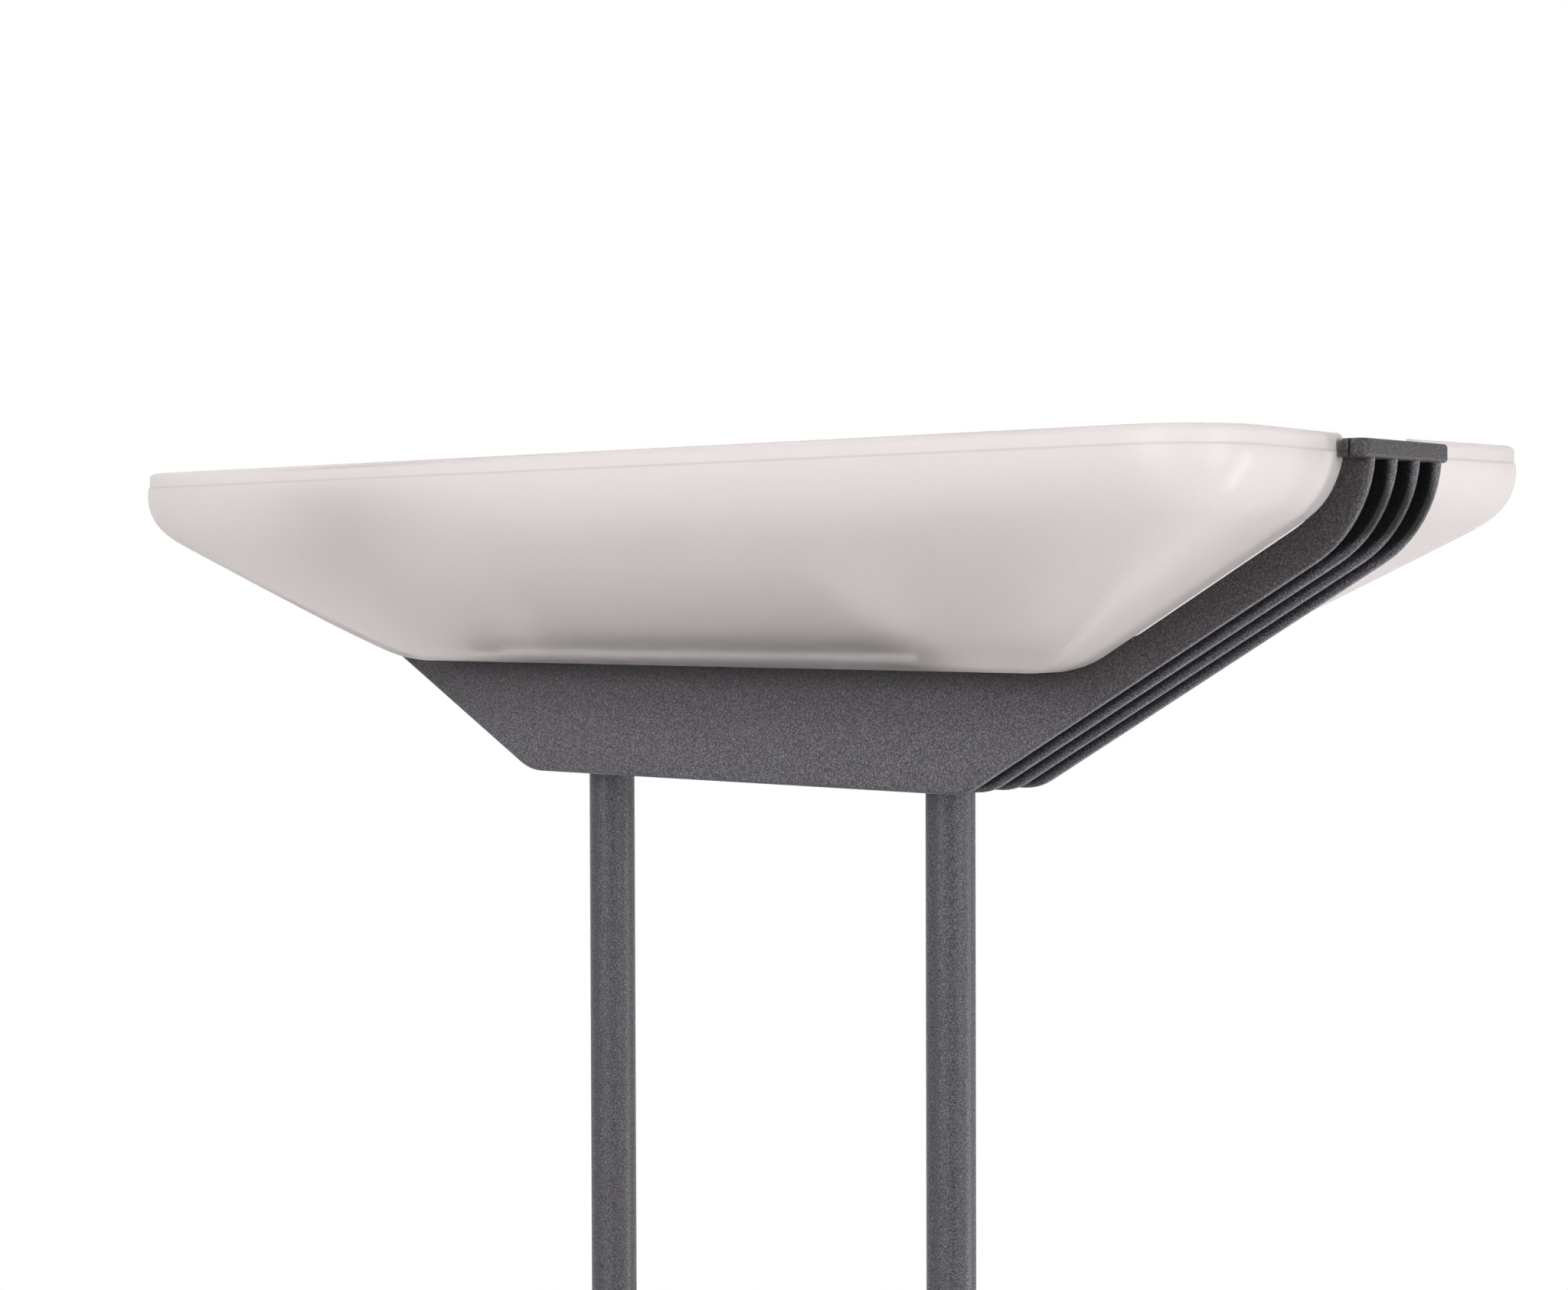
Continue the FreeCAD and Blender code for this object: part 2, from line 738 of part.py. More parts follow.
def lamp_holder():
    """Ceramic block with a recess for the tube's cap and a blind bore for the contact."""
    x0 = holder_inner_half
    x1 = x0 + holder_length
    z0 = tube_axis - holder_height / 2
    z1 = tube_axis + holder_height / 2
    block = box(x0, x1, -holder_half_width, holder_half_width, z0, z1)
    edges = [e for e in block.Edges if e.BoundBox.XLength > holder_length / 2]
    block = block.makeFillet(holder_edge, edges)
    recess_end = x0 + holder_recess_depth
    recess = rod(holder_recess_radius, Vec(x0 - overrun, 0, tube_axis), Vec(recess_end, 0, tube_axis))
    bore_end = contact_half + plunger_length + plunger_travel + touch_gap
    bore = rod(plunger_radius + slip_gap, Vec(x0, 0, tube_axis), Vec(bore_end, 0, tube_axis))
    return block.cut(recess).cut(bore)


def plunger():
    start = Vec(contact_half, 0, tube_axis)
    body = rod(plunger_radius, start, start + Vec(plunger_length, 0, 0))
    tip = [e for e in body.Edges if e.BoundBox.XMax < contact_half + plunger_tip]
    return body.makeChamfer(plunger_tip, tip)


def holder_bracket():
    """Bent plate from the housing's floor up the holder's outer face, under the block."""
    block_bottom = tube_axis - holder_height / 2
    x0 = holder_inner_half + holder_length
    upright_leg = box(x0, x0 + bracket_sheet, -holder_half_width, holder_half_width,
                      housing_floor, tube_axis + bracket_rise)
    foot = box(x0 - bracket_foot, x0, -holder_half_width, holder_half_width,
               housing_floor, housing_floor + bracket_sheet)
    shelf = box(holder_inner_half + holder_edge, x0, -holder_half_width, holder_half_width,
                block_bottom - bracket_sheet, block_bottom)
    return fuse_all([upright_leg, foot, shelf])


def holder_shield():
    """Cover plate over a lamp holder, on the housing's rim between its walls."""
    top = housing_top
    half_length, half_width = housing_half(top - shield_sheet, housing_wall)
    start = reflector_half_length + touch_gap
    return box(start, half_length - touch_gap / 2, -half_width + touch_gap / 2, half_width - touch_gap / 2,
               top - shield_sheet, top)


# Hinged frame
def knuckles():
    shapes = []
    for side in (-1, 1):
        for turn in (-1, 1):
            inner = side * ear_half + turn * (ear_thickness / 2 + touch_gap)
            outer = inner + turn * knuckle_length
            shapes.append(rod(knuckle_radius, Vec(inner, hinge_y, hinge_z), Vec(outer, hinge_y, hinge_z)))
            x0, x1 = sorted((inner, outer))
            shapes.append(box(x0, x1, frame_half_width - overrun, hinge_y, frame_bottom + touch_gap,
                              hinge_z + knuckle_radius / 2))
    return shapes


def glass_frame():
    corners = rectangle(frame_half_length, frame_half_width)
    ring = prism(corners, [frame_corner_radius] * 4, flat, frame_bottom, frame_top)
    opening = rectangle(frame_half_length - frame_border, frame_half_width - frame_border)
    ring = ring.cut(prism(opening, [frame_corner_radius / 2] * 4, flat, frame_bottom - overrun,
                          frame_top + overrun))
    grown = frame_border - glass_overlap - screw_gap
    rebate = rectangle(frame_half_length - grown, frame_half_width - grown)
    ring = ring.cut(prism(rebate, [0] * 4, flat, frame_bottom - overrun, frame_bottom + glass_thickness))
    tab = box(-tab_half_width, tab_half_width, -frame_half_width - tab_depth, -frame_half_width + overrun,
              frame_top - tab_thickness, frame_top)
    ring = fuse_all([ring, tab] + knuckles())
    bore = rod(hinge_pin_radius + slip_gap, Vec(-frame_half_length, hinge_y, hinge_z),
               Vec(frame_half_length, hinge_y, hinge_z))
    return ring.cut(bore)


def safety_glass():
    grown = frame_border - glass_overlap
    half_length = frame_half_length - grown
    half_width = frame_half_width - grown
    return box(-half_length, half_length, -half_width, half_width,
               frame_bottom, frame_bottom + glass_thickness)


def hinge_pins():
    reach = ear_thickness / 2 + touch_gap + knuckle_length
    return [rod(hinge_pin_radius, Vec(side * ear_half - reach, hinge_y, hinge_z),
                Vec(side * ear_half + reach, hinge_y, hinge_z)) for side in (-1, 1)]


# Base
def base_plate():
    corners = rectangle(base_length / 2, base_width / 2)
    plate = prism(corners, [base_corner_radius] * 4, flat, pad_thickness, base_top)
    top_edges = [e for e in plate.Edges if e.BoundBox.ZMin > base_top - base_edge_radius / 2]
    plate = plate.makeFillet(base_edge_radius, top_edges)
    for side in (-1, 1):
        x = side * post_half
        plate = plate.cut(rod(bolt_radius + screw_gap, Vec(x, 0, 0), Vec(x, 0, base_top + overrun)))
        plate = plate.cut(rod(bolt_head_radius + overrun, Vec(x, 0, 0),
                              Vec(x, 0, pad_thickness + bolt_head_height + overrun / 2)))
    return plate


def base_pads():
    shapes = []
    for side in (-1, 1):
        for end in (-1, 1):
            x = end * (base_length / 2 - pad_inset)
            y = side * (base_width / 2 - pad_inset)
            shapes.append(rod(pad_radius, Vec(x, y, 0), Vec(x, y, pad_thickness)))
    return shapes


def foot_bolts():
    shapes = []
    for side in (-1, 1):
        start = Vec(side * post_half, 0, pad_thickness + bolt_head_height + overrun / 2)
        length = base_top - start.z + foot_floor - overrun
        shapes.append(screw(start, Vec(0, 0, 1), length, bolt_radius, bolt_head_radius, bolt_head_height))
    return shapes


def post_foot(side):
    """Turned socket that the post stands in, bolted down through the base."""
    x = side * post_half
    body = rod(foot_radius, Vec(x, 0, base_top), Vec(x, 0, base_top + foot_height))
    socket = rod(post_radius + slip_gap, Vec(x, 0, post_bottom), Vec(x, 0, base_top + foot_height + overrun))
    thread = rod(bolt_radius + screw_gap, Vec(x, 0, base_top - overrun), Vec(x, 0, post_bottom))
    return body.cut(socket).cut(thread)


def post_collar(side):
    """Ring that closes the shoe's hole round the post."""
    x = side * post_half
    ring = rod(collar_radius, Vec(x, 0, shoe_top), Vec(x, 0, shoe_top + collar_height))
    edges = [e for e in ring.Edges if e.BoundBox.ZMin > shoe_top + collar_height / 2]
    ring = ring.makeFillet(collar_edge_radius, edges)
    hole = rod(post_radius + slip_gap, Vec(x, 0, shoe_top - overrun),
               Vec(x, 0, shoe_top + collar_height + overrun))
    return ring.cut(hole)


def shoe():
    """Hollow cover between the posts' feet, open underneath."""
    radius = shoe_width / 2 - touch_gap
    outer = prism(rectangle(shoe_length / 2, shoe_width / 2), [radius] * 4, flat, base_top, shoe_top)
    top_edges = [e for e in outer.Edges if e.BoundBox.ZMin > shoe_top - shoe_edge_radius / 2]
    outer = outer.makeFillet(shoe_edge_radius, top_edges)
    inside = rectangle(shoe_length / 2 - shoe_wall, shoe_width / 2 - shoe_wall)
    inner = prism(inside, [radius - shoe_wall] * 4, flat, base_top - overrun, shoe_top - shoe_wall)
    body = outer.cut(inner)
    for side in (-1, 1):
        x = side * post_half
        body = body.cut(rod(post_radius + touch_gap, Vec(x, 0, base_top), Vec(x, 0, shoe_top + overrun)))
    body = body.cut(rod(bushing_radius + screw_gap, Vec(0, 0, base_top), Vec(0, 0, shoe_top + overrun)))
    return body.cut(rod(gland_nose_radius + screw_gap, Vec(0, 0, gland_height()),
                        Vec(0, shoe_width, gland_height())))


def gland_height():
    return base_top + shoe_height / 2 - shoe_wall


def dimmer_module():
    """Dimmer unit under the shoe's top: body, threaded bushing and a bore for its shaft."""
    top = shoe_top - shoe_wall
    body = box(-module_length / 2, module_length / 2, -module_width / 2, bushing_radius * 2,
               top - module_height, top)
    bushing = rod(bushing_radius, Vec(0, 0, top - overrun), Vec(0, 0, shoe_top + nut_height))
    bore = rod(shaft_radius + slip_gap, Vec(0, 0, shaft_bottom() - touch_gap),
               Vec(0, 0, shoe_top + shoe_height))
    return fuse_all([body, bushing]).cut(bore)


def shaft_bottom():
    return shoe_top + nut_height + knob_lift + knob_height / 2 - shaft_length


def dimmer_nut():
    nut = rod(nut_radius, Vec(0, 0, shoe_top), Vec(0, 0, shoe_top + nut_height))
    hole = rod(bushing_radius + screw_gap, Vec(0, 0, base_top), Vec(0, 0, shoe_top + shoe_height))
    return nut.cut(hole)


def dimmer_shaft():
    return rod(shaft_radius, Vec(0, 0, shaft_bottom()), Vec(0, 0, shaft_bottom() + shaft_length))


def dimmer_knob():
    low = shoe_top + knob_lift
    top = low + nut_height + knob_height
    body = rod(knob_radius, Vec(0, 0, low), Vec(0, 0, top))
    edges = [e for e in body.Edges if e.BoundBox.ZMin > low + knob_height / 2 and len(e.Vertexes) == 1]
    body = body.makeFillet(knob_edge_radius, edges)
    flutes = []
    for index in range(knob_flutes):
        angle = 2 * math.pi * index / knob_flutes
        place = Vec(math.cos(angle), math.sin(angle), 0) * (knob_radius + knob_flute_radius / 2)
        flutes.append(rod(knob_flute_radius, place + Vec(0, 0, low - overrun),
                          place + Vec(0, 0, top + overrun)))
    pointer = box(-pointer_half_width, pointer_half_width, -knob_radius + knob_edge_radius,
                  -knob_radius * pointer_inner_share, top - pointer_depth, top + overrun)
    nut_room = rod(nut_radius + overrun, Vec(0, 0, low - overrun),
                   Vec(0, 0, shoe_top + nut_height + knob_lift))
    socket = rod(shaft_radius + slip_gap, Vec(0, 0, low), Vec(0, 0, shaft_bottom() + shaft_length))
    return body.cut(Part.makeCompound(flutes)).cut(pointer).cut(nut_room).cut(socket)


def cable_gland():
    """Inlet for the mains lead in the shoe's rear wall, with a flange outside."""
    wall = shoe_width / 2
    z = gland_height()
    flange = rod(gland_radius, Vec(0, wall, z), Vec(0, wall + gland_flange, z))
    nose = rod(gland_nose_radius, Vec(0, wall - shoe_wall - gland_nut_height, z),
               Vec(0, wall + gland_nose, z))
    bore = rod(gland_bore, Vec(0, 0, z), Vec(0, wall * 2, z))
    return fuse_all([flange, nose]).cut(bore)


def gland_nut():
    wall = shoe_width / 2 - shoe_wall
    z = gland_height()
    nut = rod(gland_nut_radius, Vec(0, wall - gland_nut_height, z), Vec(0, wall, z))
    return nut.cut(rod(gland_nose_radius + screw_gap, Vec(0, 0, z), Vec(0, wall + overrun, z)))


def head_nodes():
    turn = Vec(0, 1, 0)
    front_bowl = half_bowl()
    front_rail = bowl_rail()
    front_clips = bowl_clips()
    nodes = {
        "keel_casting": keel_casting(),
        "front_bowl": front_bowl,
        "rear_bowl": mirrored(front_bowl, turn),
        "front_bowl_rail": front_rail,
        "rear_bowl_rail": mirrored(front_rail, turn),
        "front_bowl_clips": front_clips,
        "rear_bowl_clips": [mirrored(clip, turn) for clip in front_clips],
        "rail_screws": rail_screws(),
        "clip_screws": clip_screws(),
        "wiring_cover": bay_cover(),
        "wiring_cover_screws": cover_screws(),
        "terminal_block": terminal_block(),
        "terminal_screws": terminal_screws(),
        "post_grub_screws": grub_screws(),
        "lamp_housing": lamp_housing(),
        "housing_screws": housing_screws(),
        "reflector": reflector(),
        "halogen_tube": tube(),
        "tube_end_caps": tube_caps(),
        "glass_frame": glass_frame(),
        "safety_glass": safety_glass(),
        "frame_hinge_pins": hinge_pins(),
    }
    for name, shape in (("lamp_holder", lamp_holder()), ("contact_plunger", plunger()),
                        ("holder_bracket", holder_bracket()), ("holder_shield", holder_shield())):
        right, left = both_ends(shape)
        nodes[name + "_right"] = right
        nodes[name + "_left"] = left
    return nodes


def stand_nodes():
    nodes = {
        "post_grommets": grommets(),
        "base_plate": base_plate(),
        "base_pads": base_pads(),
        "foot_bolts": foot_bolts(),
        "base_shoe": shoe(),
        "dimmer_module": dimmer_module(),
        "dimmer_nut": dimmer_nut(),
        "dimmer_shaft": dimmer_shaft(),
        "dimmer_knob": dimmer_knob(),
        "cable_gland": cable_gland(),
        "gland_nut": gland_nut(),
    }
    for name, side in (("left", -1), ("right", 1)):
        nodes["post_" + name] = post(side)
        nodes["post_foot_" + name] = post_foot(side)
        nodes["post_collar_" + name] = post_collar(side)
        nodes["riser_lead_" + name] = lead(side)
    return nodes


def as_list(shape):
    return shape if isinstance(shape, list) else [shape]


def save(nodes):
    for name, shape in nodes.items():
        solids = [solid for piece in as_list(shape) for solid in piece.Solids]
        whole = solids[0] if len(solids) == 1 else Part.makeCompound(solids)
        bounds = whole.BoundBox
        print(name, "solids", len(solids), "valid", whole.isValid(), "volume", round(whole.Volume),
              "z", round(bounds.ZMin, 1), round(bounds.ZMax, 1))
        whole.exportStep("parts/" + name + ".step")


def main():
    head = {name: [lift_head(piece) for piece in as_list(shape)] for name, shape in head_nodes().items()}
    save(head)
    save(stand_nodes())


main()
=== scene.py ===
import bpy
import json
import math
from mathutils import Matrix, Vector


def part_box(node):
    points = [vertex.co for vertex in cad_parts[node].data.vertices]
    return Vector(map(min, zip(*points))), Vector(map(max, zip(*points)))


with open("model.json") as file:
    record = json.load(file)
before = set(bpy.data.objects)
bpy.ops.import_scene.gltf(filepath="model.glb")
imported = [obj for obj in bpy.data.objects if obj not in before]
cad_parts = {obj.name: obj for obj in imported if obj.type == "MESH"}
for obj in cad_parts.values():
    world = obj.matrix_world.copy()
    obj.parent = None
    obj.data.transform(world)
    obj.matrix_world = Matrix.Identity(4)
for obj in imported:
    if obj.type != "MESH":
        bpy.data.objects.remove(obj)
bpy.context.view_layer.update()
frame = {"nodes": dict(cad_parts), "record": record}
nodes = frame["nodes"]

# Places read from the frame, in metres
keel_low, keel_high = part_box("keel_casting")
bowl_low, bowl_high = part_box("front_bowl")
head_z = keel_low.z
keel_face = -bowl_high.y
bowl_foot = bowl_low.z
bowl_rim = bowl_high.z

# Keel: its ribs and end bars, and the line of its slants, which place its painted shade and painted
# highlight
rib_thickness = 0.0045
rib_nose = 0.0020
rib_depth = 0.0105
bar_height = 0.0068
tip_inset = 0.0002
slant_rise = 0.10162
slant = math.radians(30.1)
flat_half = keel_high.x - tip_inset - slant_rise / math.tan(slant)

# Keel: how far up its sides the bowls' painted shade starts and grows, and the darker painted shadow
# right under the bowls' foot, which fades towards the ends
shade_from = 0.012
shade_height = 0.040
foot_shade_from = 0.038
foot_shade_to = 0.050
foot_shade_half = 0.155
foot_shade_end = 0.190

# Bowls: the fine line under the rim, and where the frosting thins towards the middle of the foot
rim_line_drop = 0.0066
rim_line_width = 0.0008
milky_edge = 0.028
thin_from = 0.022
thin_to = 0.055
thin_half = 0.104
thin_end = 0.166

# Bowls: how much light passes through the frosting where it is thin, thick, and beside the keel
clear_share = 0.98
milky_share = 0.62
edge_share = 0.35

# Camera, solved from the photograph in the head's own frame
camera_x = 0.7481
camera_y = -0.8590
camera_above_keel = 0.0798
camera_yaw = math.radians(40.79)
camera_pitch = math.radians(1.17)
camera_roll = math.radians(0.18)
camera_lens = 61.98
camera_sensor = 36
camera_near = 0.02
camera_far = 50

# Floor: a disc, and the shares of its radius over which it fades to the backdrop
floor_radius = 1.6
floor_fade_start = 0.35
floor_fade_end = 0.95
floor_color = (0.86, 0.86, 0.86)
floor_roughness = 0.8
floor_sides = 96

# Keel, posts and base: dark grey paint with pale flecks, and where each colour sits in the grain
paint_dark = (0.046, 0.043, 0.051)
paint_mid = (0.088, 0.083, 0.094)
paint_fleck = (0.215, 0.206, 0.226)
paint_stops = [(0.34, paint_dark), (0.50, paint_mid), (0.70, paint_fleck)]
paint_roughness = 0.42
paint_unevenness = [(0.3, 0.52), (0.7, 0.34)]
paint_specular = 0.25

# Shares of the paint's colour, all painted light: painted shade on the posts, painted shade between the
# ribs (full at a share of their depth), a painted highlight on their crests, and painted shade by the
# bowls
post_painted_shade = 0.70
gap_painted_shade = 0.14
crest_painted_highlight = 1.6
shade_share = 0.50
shade_tint = (1.0, 0.93, 0.92)
foot_shade_share = 0.42
gap_depth_share = 0.4

# Glass of the bowls, and of the lamp tube and its pane
frosting_color = (0.86, 0.81, 0.80)
frosting_stops = [(0.35, (0.842, 0.800, 0.790)), (0.65, (0.872, 0.826, 0.816))]
frosting_roughness = 0.35
frosting_ior = 1.30
frosting_specular = 0.15
rim_line_share = 0.86
pane_color = (0.97, 0.99, 0.98)
pane_roughness = 0.03
pane_smears = [(0.3, 0.02), (0.8, 0.07)]
pane_ior = 1.46

# Pale sleeve of the leads
sleeve_color = (0.6, 0.59, 0.56)
sleeve_light = (0.63, 0.62, 0.58)
sleeve_dark = (0.50, 0.49, 0.46)
sleeve_roughness = 0.75

# Brushed metal: how its lines are stretched along X, and how its roughness swings
line_stretch = (1, 30, 30)
line_dull = 1.3
line_bright = 0.8

# Texture of each material: cells to the metre, and octaves
paint_grain = (1800, 1)
frosting_grain = (1400, 2)
smear_grain = (40, 3)
cloud_grain = (60, 3)
peel_grain = (700, 1)
line_grain = (90, 4)
moulded_grain = (1100, 2)
weave_grain = (900, 0)

# Relief of each material: strength, and depth in metres
paint_relief = (0.25, 0.0003)
frosting_relief = (0.08, 0.0002)
peel_relief = (0.12, 0.0002)
line_relief = (0.05, 0.0001)
moulded_relief = (0.2, 0.0002)
weave_relief = (0.3, 0.0002)

# Where the low and the high colour of a two-tone texture sit in it
tone_low = 0.3
tone_high = 0.7

# World: its strength, and its grey from straight below to straight above
world_strength = 0.42
dome_stops = [(0.0, 0.03), (0.45, 0.08), (0.56, 0.45), (1.0, 0.95)]

# Lamps: where each stands, what it points at, its width and height, and its power in watts
head_middle = (0, 0, head_z + 0.06)
posts_top = (0, 0, head_z - 0.45)
posts_foot = (0, 0, 0.3)
lamps = {
    "soft_top": ((-0.3, -0.5, head_z + 1.5), head_middle, (2.4, 1.8), 15),
    "soft_left": ((-0.15, -2.3, head_z + 0.5), head_middle, (1.2, 1.6), 31),
    "soft_right": ((2.4, -0.35, head_z + 0.2), head_middle, (0.9, 1.6), 28),
    "soft_rim": ((1.7, 1.3, head_z - 0.8), posts_top, (0.5, 1.4), 28),
    "low_base": ((0.5, -1.8, 0.9), posts_foot, (1.2, 1.2), 8),
}
not_through_glass = "soft_rim"


def rgba(color, share=1.0):
    """A colour at a share of its strength, with full alpha."""
    return tuple(share * part for part in color) + (1,)


def grey(value):
    return (value, value, value, 1)


def principled(name, color, roughness, metallic=0.0):
    """A new material with its Principled shader, and handles to its tree."""
    material = bpy.data.materials.new(name)
    material.use_nodes = True
    tree = material.node_tree
    shader = tree.nodes["Principled BSDF"]
    shader.inputs["Base Color"].default_value = rgba(color)
    shader.inputs["Roughness"].default_value = roughness
    shader.inputs["Metallic"].default_value = metallic
    return material, tree, shader


def object_texture(tree, grain, kind="ShaderNodeTexNoise", stretch=None):
    """A texture in the object's own metres."""
    cells, octaves = grain
    texture = tree.nodes.new(kind)
    texture.inputs["Scale"].default_value = cells
    if "Detail" in texture.inputs:
        texture.inputs["Detail"].default_value = octaves
    vector = tree.nodes.new("ShaderNodeTexCoord").outputs["Object"]
    if stretch:
        mapping = tree.nodes.new("ShaderNodeMapping")
        mapping.inputs["Scale"].default_value = stretch
        tree.links.new(vector, mapping.inputs["Vector"])
        vector = mapping.outputs["Vector"]
    tree.links.new(vector, texture.inputs["Vector"])
    return texture


def ramp(tree, source, stops):
    """A colour ramp from a texture's factor."""
    node = tree.nodes.new("ShaderNodeValToRGB")
    elements = node.color_ramp.elements
    while len(elements) < len(stops):
        elements.new(0.5)
    for element, (position, color) in zip(elements, stops):
        element.position = position
        element.color = color
    tree.links.new(source, node.inputs["Fac"])
    return node.outputs["Color"]


def grey_ramp(tree, source, stops):
    return ramp(tree, source, [(position, grey(value)) for position, value in stops])


def two_tones(tree, source, low, high):
    return ramp(tree, source, [(tone_low, rgba(low)), (tone_high, rgba(high))])


def bump(tree, shader, source, relief):
    """Raises the surface by a texture."""
    node = tree.nodes.new("ShaderNodeBump")
    node.inputs["Strength"].default_value, node.inputs["Distance"].default_value = relief
    tree.links.new(source, node.inputs["Height"])
    tree.links.new(node.outputs["Normal"], shader.inputs["Normal"])


def maths(tree, operation, *values):
    """A maths node on sockets or plain numbers."""
    node = tree.nodes.new("ShaderNodeMath")
    node.operation = operation
    for value, socket in zip(values, node.inputs):
        if isinstance(value, (int, float)):
            socket.default_value = value
        else:
            tree.links.new(value, socket)
    return node.outputs[0]


def fade(tree, source, start, end, low=0.0, high=1.0):
    """Goes smoothly from low to high while the source goes from start to end."""
    node = tree.nodes.new("ShaderNodeMapRange")
    node.interpolation_type = "SMOOTHSTEP"
    node.inputs["From Min"].default_value = start
    node.inputs["From Max"].default_value = end
    node.inputs["To Min"].default_value = low
    node.inputs["To Max"].default_value = high
    tree.links.new(source, node.inputs["Value"])
    return node.outputs["Result"]


def object_places(tree):
    """The object's own metres: X and Y counted outwards from the middle, and Z."""
    place = tree.nodes.new("ShaderNodeTexCoord")
    split = tree.nodes.new("ShaderNodeSeparateXYZ")
    tree.links.new(place.outputs["Object"], split.inputs[0])
    along = maths(tree, "ABSOLUTE", split.outputs["X"])
    outwards = maths(tree, "ABSOLUTE", split.outputs["Y"])
    return along, outwards, split.outputs["Z"]


def tint(tree, color, factor, shade):
    """Multiplies a colour by a shade as far as the factor says."""
    node = tree.nodes.new("ShaderNodeMix")
    node.data_type = "RGBA"
    node.blend_type = "MULTIPLY"
    tree.links.new(factor, node.inputs["Factor"])
    tree.links.new(color, node.inputs["A"])
    node.inputs["B"].default_value = shade
    return node.outputs["Result"]


def mixed(tree, factor, first, second):
    """Mixes two shaders."""
    node = tree.nodes.new("ShaderNodeMixShader")
    tree.links.new(factor, node.inputs["Fac"])
    tree.links.new(first, node.inputs[1])
    tree.links.new(second, node.inputs[2])
    return node.outputs[0]


def shaded_by_place(tree, color):
    """Paints light and shade into the keel's colour: painted shade between the ribs, a painted highlight
    on their crests, painted shade of the bowls on its sides and end bars, and a darker painted shadow
    right under the bowls' foot.
    """
    along, outwards, up = object_places(tree)
    from_end = maths(tree, "SUBTRACT", keel_high.x, along)
    from_floor = maths(tree, "SUBTRACT", up, head_z)
    rise = maths(tree, "MULTIPLY", from_floor, math.cos(slant))
    run = maths(tree, "MULTIPLY", maths(tree, "SUBTRACT", along, flat_half), math.sin(slant))
    from_slant = maths(tree, "SUBTRACT", rise, run)
    nearest = maths(tree, "MINIMUM", maths(tree, "MINIMUM", from_end, from_floor), from_slant)

    # Painted shade between the ribs, deepening inwards from the keel's outline
    within = maths(tree, "LESS_THAN", outwards, keel_face - rib_thickness / 2)
    below_bar = maths(tree, "LESS_THAN", up, keel_high.z - bar_height)
    in_gap = maths(tree, "MULTIPLY", within, below_bar)
    deep = fade(tree, nearest, rib_nose / 2, rib_depth * gap_depth_share)
    color = tint(tree, color, maths(tree, "MULTIPLY", in_gap, deep), grey(gap_painted_shade))

    # Painted shade of the bowls on the keel's outer sides and on its end bars, growing upwards
    side = fade(tree, outwards, keel_face - rib_nose, keel_face)
    bar = maths(tree, "SUBTRACT", 1, below_bar)
    high = fade(tree, up, head_z + shade_from, head_z + shade_from + shade_height)
    shaded = maths(tree, "MULTIPLY", maths(tree, "MAXIMUM", side, bar), high)
    color = tint(tree, color, shaded, rgba(shade_tint, shade_share))

    # A darker painted shadow on the sides right under the bowls' foot, fading out towards the ends
    by_foot = fade(tree, up, head_z + foot_shade_from, head_z + foot_shade_to)
    by_middle = fade(tree, along, foot_shade_half, foot_shade_end, 1, 0)
    under_bowl = maths(tree, "MULTIPLY", side, maths(tree, "MULTIPLY", by_foot, by_middle))
    color = tint(tree, color, under_bowl, grey(foot_shade_share))

    # A painted highlight along the rib crests, below the end bars
    crest = fade(tree, nearest, rib_nose / 3, 0)
    return tint(tree, color, maths(tree, "MULTIPLY", crest, below_bar), grey(crest_painted_highlight))


def speckled_paint(name, share=1.0, with_painted_light=False):
    """Dark grey paint with fine pale flecks; a share below one darkens it as painted shade, and on the
    keel painted shade and a painted highlight are laid into it by place.
    """
    material, tree, shader = principled(name, paint_mid, paint_roughness)
    shader.inputs["Specular IOR Level"].default_value = paint_specular
    grain = object_texture(tree, paint_grain).outputs["Fac"]
    color = ramp(tree, grain, [(position, rgba(color, share)) for position, color in paint_stops])
    if with_painted_light:
        color = shaded_by_place(tree, color)
    tree.links.new(color, shader.inputs["Base Color"])
    tree.links.new(grey_ramp(tree, grain, paint_unevenness), shader.inputs["Roughness"])
    bump(tree, shader, grain, paint_relief)
    return material


def frosted_glass(name):
    """Milky glass with a sandblasted face: light passes, shapes behind it show only as soft shadows."""
    material, tree, shader = principled(name, frosting_color, frosting_roughness)
    shader.inputs["IOR"].default_value = frosting_ior
    shader.inputs["Specular IOR Level"].default_value = frosting_specular
    along, outwards, up = object_places(tree)
    above = fade(tree, up, bowl_foot + thin_from, bowl_foot + thin_to)
    above_foot = maths(tree, "SUBTRACT", up, bowl_foot)
    beyond = fade(tree, maths(tree, "ADD", along, above_foot), thin_half, thin_end)
    milky = maths(tree, "MAXIMUM", above, beyond)
    clear = fade(tree, milky, 0, 1, clear_share, milky_share)
    off_edge = fade(tree, outwards, keel_face, keel_face + milky_edge, edge_share, 1)
    tree.links.new(maths(tree, "MULTIPLY", clear, off_edge), shader.inputs["Transmission Weight"])
    grain = object_texture(tree, frosting_grain).outputs["Fac"]
    tone = ramp(tree, grain, [(position, rgba(color)) for position, color in frosting_stops])
    line = maths(tree, "COMPARE", up, bowl_rim - rim_line_drop, rim_line_width / 2)
    tree.links.new(tint(tree, tone, line, grey(rim_line_share)), shader.inputs["Base Color"])
    bump(tree, shader, grain, frosting_relief)
    return material


def clear_glass(name):
    """Clear glass with a faint film of smears."""
    material, tree, shader = principled(name, pane_color, pane_roughness)
    shader.inputs["Transmission Weight"].default_value = 1.0
    shader.inputs["IOR"].default_value = pane_ior
    smear = object_texture(tree, smear_grain).outputs["Fac"]
    tree.links.new(grey_ramp(tree, smear, pane_smears), shader.inputs["Roughness"])
    return material


